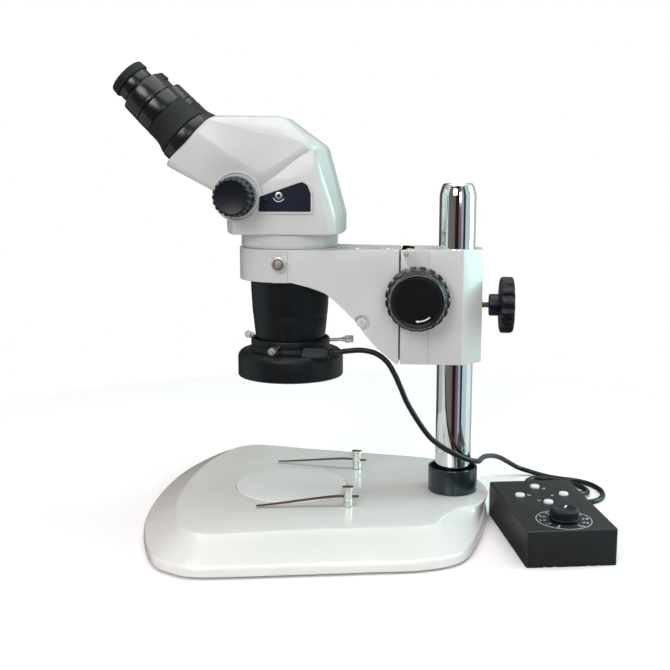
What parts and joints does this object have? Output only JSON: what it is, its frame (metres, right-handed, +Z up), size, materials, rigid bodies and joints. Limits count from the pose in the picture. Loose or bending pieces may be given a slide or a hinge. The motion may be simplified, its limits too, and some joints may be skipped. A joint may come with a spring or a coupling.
{
  "type": "stereo microscope",
  "caption": "Stereo zoom microscope: inclined binocular head with an LED ring light on a rack-and-pinion arm, a chromed pillar stand with stage clips, and a corded dimmer box.",
  "frame": {"origin": "on the table, under the middle of the object without its free cord", "axes": "+Z up, +X from the user towards the pillar, so the user's right is -Y"},
  "size_m": [0.4448, 0.344, 0.4028],
  "materials": {
    "white_casting": "white gloss paint on cast aluminium",
    "stage_white": "white gloss plastic",
    "black_casting": "black satin paint on aluminium",
    "black_gloss": "black gloss plastic",
    "black_plastic": "black satin plastic",
    "black_rubber": "black rubber",
    "chrome": "polished chrome plate",
    "steel": "plain steel",
    "brass": "turned brass",
    "glass": "coated optical glass",
    "diffuser": "milky diffuser",
    "button_white": "white plastic",
    "board_green": "green circuit board"
  },
  "bodies": {
    "stand": {"base_casting": "white_casting", "foot_front_left": "black_rubber", "foot_front_right": "black_rubber", "foot_rear_left": "black_rubber", "foot_rear_right": "black_rubber", "stage_plate": "stage_white", "pillar": "chrome", "pillar_collar": "black_rubber", "control_shell": "black_plastic", "control_bottom_cover": "black_plastic", "control_circuit_board": "board_green", "power_jack": "black_gloss", "dimmer_potentiometer": "steel", "cord_gland": "black_rubber", "cord_to_box": "black_rubber"},
    "clip_left": {"clip_post_left": "chrome", "stage_clip_left": "steel"},
    "clip_right": {"clip_post_right": "chrome", "stage_clip_right": "steel"},
    "far_button": {"button_far": "button_white"},
    "left_button": {"button_left": "button_white"},
    "right_button": {"button_right": "button_white"},
    "near_button": {"button_near": "button_white"},
    "dimmer": {"dimmer_knob": "black_plastic"},
    "bush": {"pillar_bush": "brass"},
    "carriage": {"focus_block": "white_casting", "cord_at_block": "black_rubber"},
    "clamp": {"clamp_screw": "brass", "clamp_knob": "black_plastic"},
    "clamp_shoe": {"clamp_pad": "brass"},
    "focus_drive": {"focus_pinion_shaft": "steel", "focus_knob_right": "black_gloss", "focus_knob_left": "black_gloss"},
    "arm": {"focus_arm": "white_casting", "focus_rack": "brass", "cord_at_arm": "black_rubber"},
    "head_lock": {"head_lock_screw": "steel"},
    "head": {"head_shell": "white_casting", "head_flange": "white_casting", "nosepiece": "black_casting", "objective_lens": "glass", "side_panel": "black_gloss", "ring_light_housing": "black_plastic", "ring_light_led_board": "board_green", "ring_light_diffuser": "diffuser", "cord_at_lamp": "black_rubber"},
    "zoom": {"zoom_shaft": "steel", "zoom_knob_right": "black_plastic", "zoom_knob_left": "black_plastic"},
    "tube_left": {"eyetube_left": "black_casting"},
    "dioptre_left": {"diopter_ring_left": "black_gloss"},
    "ocular_left": {"eyepiece_left": "black_gloss", "eyecup_left": "black_rubber"},
    "tube_right": {"eyetube_right": "black_casting"},
    "dioptre_right": {"diopter_ring_right": "black_gloss"},
    "ocular_right": {"eyepiece_right": "black_gloss", "eyecup_right": "black_rubber"},
    "lamp_screw_front": {"ring_light_screw_front": "steel"},
    "lamp_screw_near": {"ring_light_screw_near": "steel"},
    "lamp_screw_rear": {"ring_light_screw_rear": "steel"}
  },
  "joints": [
    {"name": "column_slide", "type": "slide", "parent": "stand", "child": "bush", "axis": [0, 0, 1], "range_m": [-0.055, 0.045], "deforming": ["cord_to_box"]},
    {"name": "column_swivel", "type": "hinge", "parent": "bush", "child": "carriage", "pos_m": [0.084, 0, 0.2], "axis": [0, 0, 1], "range_deg": [-90, 90], "deforming": ["cord_at_block"]},
    {"name": "clamp_turn", "type": "hinge", "parent": "carriage", "child": "clamp", "pos_m": [0.114, 0, 0.1936], "axis": [1, 0, 0], "range_deg": [0, 225]},
    {"name": "clamp_shoe_slide", "type": "slide", "parent": "carriage", "child": "clamp_shoe", "axis": [1, 0, 0], "range_m": [0, 0.00052]},
    {"name": "focus_slide", "type": "slide", "parent": "carriage", "child": "arm", "axis": [0, 0, 1], "range_m": [-0.025, 0.025], "deforming": ["cord_at_arm"]},
    {"name": "focus_turn", "type": "hinge", "parent": "carriage", "child": "focus_drive", "pos_m": [0.0505, 0, 0.203], "axis": [0, 1, 0], "range_deg": [-262, 262]},
    {"name": "head_lock_turn", "type": "hinge", "parent": "arm", "child": "head_lock", "pos_m": [-0.0643, 0, 0.2331], "axis": [-0.0576, -0.9983, 0], "range_deg": [0, 360]},
    {"name": "head_swivel", "type": "hinge", "parent": "arm", "child": "head", "pos_m": [-0.0643, 0, 0.25], "axis": [0, 0, 1], "range_deg": [-135, 135], "deforming": ["cord_at_lamp"]},
    {"name": "zoom_turn", "type": "hinge", "parent": "head", "child": "zoom", "pos_m": [-0.102, 0, 0.2895], "axis": [0, 1, 0], "range_deg": [-120, 150]},
    {"name": "eyetube_turn_left", "type": "hinge", "parent": "head", "child": "tube_left", "pos_m": [-0.15258, 0.028, 0.32802], "axis": [-0.7071, 0, 0.7071], "range_deg": [-12, 60]},
    {"name": "dioptre_turn_left", "type": "hinge", "parent": "tube_left", "child": "dioptre_left", "pos_m": [-0.1448, 0.028, 0.3358], "axis": [-0.7071, 0, 0.7071], "range_deg": [-180, 180]},
    {"name": "dioptre_slide_left", "type": "slide", "parent": "tube_left", "child": "ocular_left", "axis": [-0.7071, 0, 0.7071], "range_m": [-0.002, 0.002]},
    {"name": "eyetube_turn_right", "type": "hinge", "parent": "head", "child": "tube_right", "pos_m": [-0.15258, -0.028, 0.32802], "axis": [-0.7071, 0, 0.7071], "range_deg": [-60, 12]},
    {"name": "dioptre_turn_right", "type": "hinge", "parent": "tube_right", "child": "dioptre_right", "pos_m": [-0.1448, -0.028, 0.3358], "axis": [-0.7071, 0, 0.7071], "range_deg": [-180, 180]},
    {"name": "dioptre_slide_right", "type": "slide", "parent": "tube_right", "child": "ocular_right", "axis": [-0.7071, 0, 0.7071], "range_m": [-0.002, 0.002]},
    {"name": "lamp_screw_turn_front", "type": "hinge", "parent": "head", "child": "lamp_screw_front", "pos_m": [-0.0643, 0, 0.1584], "axis": [-0.7986, 0.6018, 0], "range_deg": [0, 360]},
    {"name": "lamp_screw_turn_near", "type": "hinge", "parent": "head", "child": "lamp_screw_near", "pos_m": [-0.0643, 0, 0.1584], "axis": [-0.1564, -0.9877, 0], "range_deg": [0, 360]},
    {"name": "lamp_screw_turn_rear", "type": "hinge", "parent": "head", "child": "lamp_screw_rear", "pos_m": [-0.0643, 0, 0.1584], "axis": [0.9613, 0.2756, 0], "range_deg": [0, 360]},
    {"name": "clip_swing_left", "type": "hinge", "parent": "stand", "child": "clip_left", "pos_m": [-0.0075, 0.056, 0.03], "axis": [0, 0, 1], "range_deg": [-80, 45]},
    {"name": "clip_swing_right", "type": "hinge", "parent": "stand", "child": "clip_right", "pos_m": [-0.0075, -0.056, 0.03], "axis": [0, 0, 1], "range_deg": [-45, 80]},
    {"name": "press_far_button", "type": "slide", "parent": "stand", "child": "far_button", "axis": [0, 0, 1], "range_m": [-0.0012, 0], "stiffness_N_per_m": 400, "springref_m": 0.001},
    {"name": "press_left_button", "type": "slide", "parent": "stand", "child": "left_button", "axis": [0, 0, 1], "range_m": [-0.0012, 0], "stiffness_N_per_m": 400, "springref_m": 0.001},
    {"name": "press_right_button", "type": "slide", "parent": "stand", "child": "right_button", "axis": [0, 0, 1], "range_m": [-0.0012, 0], "stiffness_N_per_m": 400, "springref_m": 0.001},
    {"name": "press_near_button", "type": "slide", "parent": "stand", "child": "near_button", "axis": [0, 0, 1], "range_m": [-0.0012, 0], "stiffness_N_per_m": 400, "springref_m": 0.001},
    {"name": "dimmer_turn", "type": "hinge", "parent": "stand", "child": "dimmer", "pos_m": [0.17202, -0.0943, 0.035], "axis": [0, 0, 1], "range_deg": [-150, 120]}
  ],
  "couplings": [
    {"joint": "focus_turn", "follows": "focus_slide", "rad_per_m": 181.82},
    {"joint": "clamp_shoe_slide", "follows": "clamp_turn", "m_per_rad": 0.00012732},
    {"joint": "dioptre_slide_left", "follows": "dioptre_turn_left", "m_per_rad": 0.000636},
    {"joint": "dioptre_slide_right", "follows": "dioptre_turn_right", "m_per_rad": 0.000636},
    {"joint": "eyetube_turn_right", "follows": "eyetube_turn_left", "ratio": -1}
  ]
}
